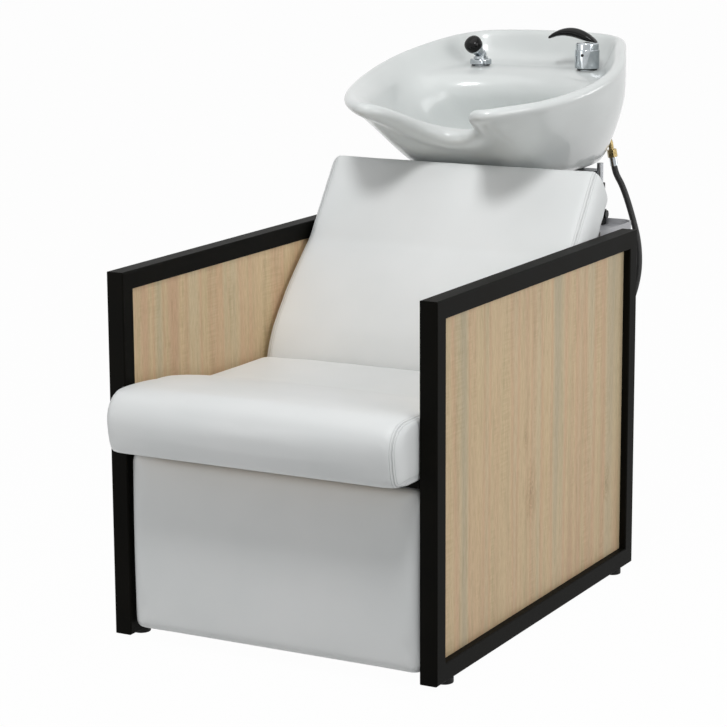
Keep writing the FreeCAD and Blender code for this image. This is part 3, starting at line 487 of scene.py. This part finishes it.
def turned(name, profile, place, axis):
    """A lathed piece: profile is (radius, height) pairs in millimetres, base first."""
    bpy.ops.object.select_all(action="DESELECT")
    bpy.ops.mesh.primitive_circle_add(vertices=lathe_sides, radius=profile[0][0] / 1000, fill_type="NGON",
                                      location=(0, 0, profile[0][1] / 1000))
    piece = bpy.context.object
    piece.name = piece.data.name = name
    bpy.ops.object.transform_apply(location=True)
    bpy.ops.object.mode_set(mode="EDIT")
    bpy.ops.mesh.select_all(action="SELECT")
    for (wide, low), (next_wide, high) in zip(profile, profile[1:]):
        bpy.ops.mesh.extrude_region_move(TRANSFORM_OT_translate={"value": (0, 0, (high - low) / 1000)})
        bpy.ops.transform.resize(value=(next_wide / wide, next_wide / wide, 1),
                                 center_override=(0, 0, high / 1000))
    bpy.ops.mesh.select_all(action="SELECT")
    bpy.ops.mesh.normals_make_consistent(inside=False)
    bpy.ops.object.mode_set(mode="OBJECT")
    stand = Vector(axis).to_track_quat("Z", "Y")
    piece.matrix_world = Matrix.Translation(place) @ stand.to_matrix().to_4x4()
    bpy.ops.object.transform_apply(location=True, rotation=True)
    bpy.ops.object.shade_smooth_by_angle(angle=sharp_edge)
    return piece


neck_lean = Vector((-0.15, -0.74, 0.66)).normalized()
neck_length = 0.024
head_place = at(-103, 1004, 930) + neck_lean * neck_length
dome = turned("spray_dome", [
    (12.5, 1.5), (15.6, 1.5), (16.8, 2.2), (17.2, 4.0), (17.3, 10.0), (16.9, 13.0), (15.7, 15.8),
    (13.6, 18.0), (10.6, 19.5), (6.8, 20.3), (2.5, 20.6)], head_place, neck_lean)
dome.data.materials.append(gloss_black)
spray_ring = turned("spray_ring", [
    (12.6, -4.5), (13.9, -4.2), (14.5, -3.4), (14.6, 0.2), (14.2, 1.0), (12.6, 1.3)], head_place, neck_lean)
spray_ring.data.materials.append(chrome)
for piece in (dome, spray_ring):
    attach(piece, "hand_shower")
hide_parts("spray_head")
print("spray head turned")

# %% [markdown]
# ## Cushions
# Seat and back are foam on plywood under white coated fabric: a top panel sewn to side panels, the
# seam turned in and stitched down on both sides. The cloth pulls the foam into soft crowns. Each
# pad starts as a copy of its solid, is remeshed evenly and then blown up a little by Blender's cloth
# solver, with its underside held by the board. The swelling is capped, because real upholstery is
# tight, and the pad is kept between the side frames.

# %% Cushion helpers
frame_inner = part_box("right_front_post")[0].x
side_gap = 0.0012
cloth_frames = 20


def copy_of(source, name):
    """A loose copy of a solid's mesh, merged, as a new object at the origin."""
    bpy.ops.object.select_all(action="DESELECT")
    mesh = nodes[source].data.copy()
    mesh.name = name
    mesh.materials.clear()
    made = bpy.data.objects.new(name, mesh)
    scene.collection.objects.link(made)
    made.select_set(True)
    bpy.context.view_layer.objects.active = made
    bpy.ops.object.mode_set(mode="EDIT")
    bpy.ops.mesh.select_all(action="SELECT")
    bpy.ops.mesh.remove_doubles(threshold=0.00001)
    bpy.ops.mesh.normals_make_consistent(inside=False)
    bpy.ops.object.mode_set(mode="OBJECT")
    return made


def modified(piece, name, kind, **settings):
    """Adds a modifier with its settings and applies it."""
    modifier = piece.modifiers.new(name, kind)
    for setting, value in settings.items():
        setattr(modifier, setting, value)
    apply(piece, modifier)


def apply(piece, modifier):
    """Applies one modifier of a piece."""
    bpy.ops.object.select_all(action="DESELECT")
    piece.select_set(True)
    bpy.context.view_layer.objects.active = piece
    bpy.ops.object.modifier_apply(modifier=modifier.name)


def swell(pad, held, cap):
    """Blows a pad up with the cloth solver; held picks the points that the board keeps still."""
    before = [v.co.copy() for v in pad.data.vertices]
    group = pad.vertex_groups.new(name="held")
    group.add([v.index for v in pad.data.vertices if held(v.co)], 1.0, "REPLACE")
    cloth = pad.modifiers.new("cloth", "CLOTH")
    cloth.settings.quality = 4
    cloth.settings.mass = 0.4
    cloth.settings.tension_stiffness = 40
    cloth.settings.compression_stiffness = 40
    cloth.settings.bending_stiffness = 12
    cloth.settings.use_pressure = True
    cloth.settings.uniform_pressure_force = 1.6
    cloth.settings.vertex_group_mass = "held"
    cloth.settings.effector_weights.gravity = 0
    cloth.collision_settings.use_self_collision = False
    for step in range(1, cloth_frames + 1):
        scene.frame_set(step)
    apply(pad, cloth)
    scene.frame_set(1)
    for vertex, old in zip(pad.data.vertices, before):
        move = vertex.co - old
        if move.length > cap:
            vertex.co = old + move * (cap / move.length)
    pad.vertex_groups.clear()
    modified(pad, "tight", "SMOOTH", factor=0.5, iterations=5)


def padded(source, name, held, voxel=0.006, cap=0.0022):
    """A cushion grown from a solid: remeshed, swollen, kept between the frames and smoothed."""
    pad = copy_of(source, name)
    modified(pad, "even", "REMESH", mode="VOXEL", voxel_size=voxel)
    modified(pad, "soften", "SMOOTH", factor=0.5, iterations=4)
    swell(pad, held, cap)
    limit = frame_inner - side_gap
    for vertex in pad.data.vertices:
        vertex.co.x = max(-limit, min(limit, vertex.co.x))
    modified(pad, "fine", "SUBSURF", levels=1, render_levels=1)
    for polygon in pad.data.polygons:
        polygon.use_smooth = True
    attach(pad, "chair_frame")
    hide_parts(source)
    print(name, len(pad.data.vertices), "points")
    return pad


def mark_seam(pad, seam_x):
    """Stores each point's distance from the side seam, positive on the top panel.

    The pad's outline is read from a narrow band of points that lies just inside the seam.
    """
    band = [v.co for v in pad.data.vertices if seam_x - 0.018 < abs(v.co.x) < seam_x - 0.012]
    outline = KDTree(len(band))
    for index, point in enumerate(band):
        outline.insert((0, point.y, point.z), index)
    outline.balance()
    seam = pad.data.attributes.new("seam", "FLOAT", "POINT")
    for index, vertex in enumerate(pad.data.vertices):
        drop = outline.find((0, vertex.co.y, vertex.co.z))[2]
        seam.data[index].value = (seam_x - abs(vertex.co.x)) - drop


# %% [markdown]
# The cover is vinyl on a knitted back, with a fine leather grain pressed in by a roller. It gives a
# soft, wide sheen on a cool white. The sewn edge is drawn from the stored distance: a narrow fold at
# the seam itself and a shallow stitched line six millimetres to each side of it, both sunk by a bump
# and painted greyer with their depth, a painted shade in the grooves.

# %% Upholstery finish
cover_cloud = 166.7
# The pressed grain is about 0.8 mm and is drawn twice as coarse, so that it shows
leather_grain = 1.613
leather_relief = 0.0003
# Lengths of the sewn edge in metres
fold_half = 0.0028
stitch_away = 0.006
stitch_half = 0.0016
seam_depth = 0.0012


def upholstery_finish(name, seamed):
    """White embossed vinyl; a seamed one shows the sewn edge, with painted shade in its grooves."""
    finish, tree = new_finish(name)
    place = node(tree, "ShaderNodeTexCoord").outputs["Object"]
    cloud = node(tree, "ShaderNodeTexNoise", {
        "Vector": place, "Scale": per_metre(cover_cloud), "Detail": 2.0})
    tone = node(tree, "ShaderNodeValToRGB", {"Fac": cloud}, [(0.3, "#e2e5e5"), (0.7, "#e8eaea")])
    leather = node(tree, "ShaderNodeTexVoronoi", {"Vector": place, "Scale": per_metre(leather_grain)},
                   feature="SMOOTH_F1")
    relief = node(tree, "ShaderNodeBump", {
        "Height": leather.outputs["Distance"], "Strength": 0.12, "Distance": leather_relief})
    if seamed:
        seam = node(tree, "ShaderNodeAttribute", attribute_name="seam").outputs["Fac"]

        def line(centre, half):
            """1 on a line at a distance from the seam, falling to 0 at its half width."""
            away = node(tree, "ShaderNodeMath", {0: seam, 1: centre}, operation="SUBTRACT")
            near = node(tree, "ShaderNodeMath", {0: away}, operation="ABSOLUTE")
            return node(tree, "ShaderNodeMapRange", {
                "Value": near, "From Min": 0.0, "From Max": half, "To Min": 1.0, "To Max": 0.0},
                interpolation_type="SMOOTHSTEP")

        fold = line(0.0, fold_half)
        stitches = [line(away, stitch_half) for away in (stitch_away, -stitch_away)]
        rows = node(tree, "ShaderNodeMath", {0: stitches[0], 1: stitches[1]}, operation="ADD")
        depth = node(tree, "ShaderNodeMath", {0: rows, 1: 0.5, 2: fold}, operation="MULTIPLY_ADD")
        sunk = node(tree, "ShaderNodeMath", {0: depth, 1: -1.0}, operation="MULTIPLY")
        relief = node(tree, "ShaderNodeBump", {
            "Height": sunk, "Strength": 0.9, "Distance": seam_depth, "Normal": relief})
        # Painted shade: the fold and the stitched lines are coloured toward grey with their depth
        shade = node(tree, "ShaderNodeMath", {0: depth, 1: 0.35}, operation="MULTIPLY", use_clamp=True)
        tone = node(tree, "ShaderNodeMix", {0: shade, 6: tone, 7: colour("#9fa3a3")},
                    data_type="RGBA").outputs[2]
    shader = node(tree, "ShaderNodeBsdfPrincipled", {
        "Base Color": tone, "Roughness": 0.46, "Specular IOR Level": 0.4, "Normal": relief})
    node(tree, "ShaderNodeOutputMaterial", {"Surface": shader})
    return finish


sewn_vinyl = upholstery_finish("sewn_vinyl", True)
wrapped_vinyl = upholstery_finish("wrapped_vinyl", False)

# %% [markdown]
# The board holds the seat by its lowest twelve millimetres, the backrest by the part of it that lies
# deep enough behind its sloping face, and the front pad by its flat back.

# %% Seat, backrest and front pad
seat_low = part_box("seat_cushion")[0].z
seat = padded("seat_cushion", "seat_pad", lambda p: p.z < seat_low + 0.012)
back_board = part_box("backrest_board")
# The way square into the backrest, and how far along it the board begins
into_y, into_z = 0.8, 0.6
board_depth = 0.36
back_pad = padded(
    "backrest_cushion", "backrest_pad",
    lambda p: (p.y - back_board[0].y) * into_y - (p.z - back_board[1].z) * into_z > board_depth)
front_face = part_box("front_panel_board")[0].y
front_pad = padded("front_panel_pad", "front_pad", lambda p: p.y > front_face - 0.002, 0.005, 0.0015)
for pad, seam_x in ((seat, 0.271), (back_pad, 0.268)):
    mark_seam(pad, seam_x)
    pad.data.materials.append(sewn_vinyl)
front_pad.data.materials.append(wrapped_vinyl)

# %% [markdown]
# ## Light and floor
# A product studio. The key is a fairly small soft box high in front and a little to the right, so
# the basin's two horns throw soft shadows on the backrest. A wide box overhead and one to the right
# open the shadows on the tops and on the side panels, a small one behind on the right lifts the
# basin's flank, and a low one on the left fills the seat's front. The floor and the room are plain
# white to the camera, so the unit stands on a white page.

# %% Light and floor
room_fill = 0.2
floor_width = 30
floor_glow = 0.98
page_white = colour("#ffffff")


def soft_box(name, place, aim, size, power):
    """A square area lamp that points at aim."""
    lamp = bpy.data.lights.new(name, "AREA")
    lamp.shape = "SQUARE"
    lamp.size = size
    lamp.energy = power
    made = bpy.data.objects.new(name, lamp)
    scene.collection.objects.link(made)
    aimed = (Vector(aim) - Vector(place)).to_track_quat("-Z", "Y")
    made.matrix_world = Matrix.Translation(place) @ aimed.to_matrix().to_4x4()


def seen_directly(tree):
    """1 for camera, glossy and transmission rays."""
    path = node(tree, "ShaderNodeLightPath")
    gloss = node(tree, "ShaderNodeMath", {
        0: path.outputs["Is Camera Ray"], 1: path.outputs["Is Glossy Ray"]}, operation="MAXIMUM")
    return node(tree, "ShaderNodeMath", {0: gloss, 1: path.outputs["Is Transmission Ray"]},
                operation="MAXIMUM")


room = bpy.data.worlds.new("room")
scene.world = room
room.use_nodes = True
room_tree = room.node_tree
room_tree.nodes.clear()
room_light = node(room_tree, "ShaderNodeBackground", {"Color": page_white, "Strength": room_fill})
room_white = node(room_tree, "ShaderNodeBackground", {"Color": page_white, "Strength": 1.0})
room_mix = node(room_tree, "ShaderNodeMixShader", {0: seen_directly(room_tree), 1: room_light, 2: room_white})
node(room_tree, "ShaderNodeOutputWorld", {"Surface": room_mix})

soft_box("key_box", (0.54, -1.6, 3.07), (0, 0.17, 0.71), 0.55, 38)
soft_box("top_box", (-0.4, -0.3, 3.2), (0, 0, 0.5), 2.4, 16)
soft_box("side_box", (2.0, -0.4, 1.3), (0, 0, 0.4), 1.2, 14.5)
soft_box("rear_box", (1.3, 1.3, 0.8), (0.15, 0.45, 0.85), 0.5, 3.2)
soft_box("front_box", (-1.2, -1.6, 0.5), (0, -0.5, 0.3), 1.0, 5)

bpy.ops.object.select_all(action="DESELECT")
bpy.ops.mesh.primitive_plane_add(size=floor_width, location=(0, 0, 0))
floor = bpy.context.object
floor.name = "floor"
# Matt backdrop paper: it throws soft light up at the unit, and the camera sees it as plain white
floor_finish, floor_tree = new_finish("backdrop_paper")
floor_matt = node(floor_tree, "ShaderNodeBsdfDiffuse", {"Color": colour("#cecece")})
floor_white = node(floor_tree, "ShaderNodeEmission", {"Color": page_white, "Strength": 1.0})
floor_share = node(floor_tree, "ShaderNodeMath", {0: seen_directly(floor_tree), 1: floor_glow},
                   operation="MULTIPLY")
floor_mix = node(floor_tree, "ShaderNodeMixShader", {0: floor_share, 1: floor_matt, 2: floor_white})
node(floor_tree, "ShaderNodeOutputMaterial", {"Surface": floor_mix})
floor.data.materials.append(floor_finish)
print("studio lit")
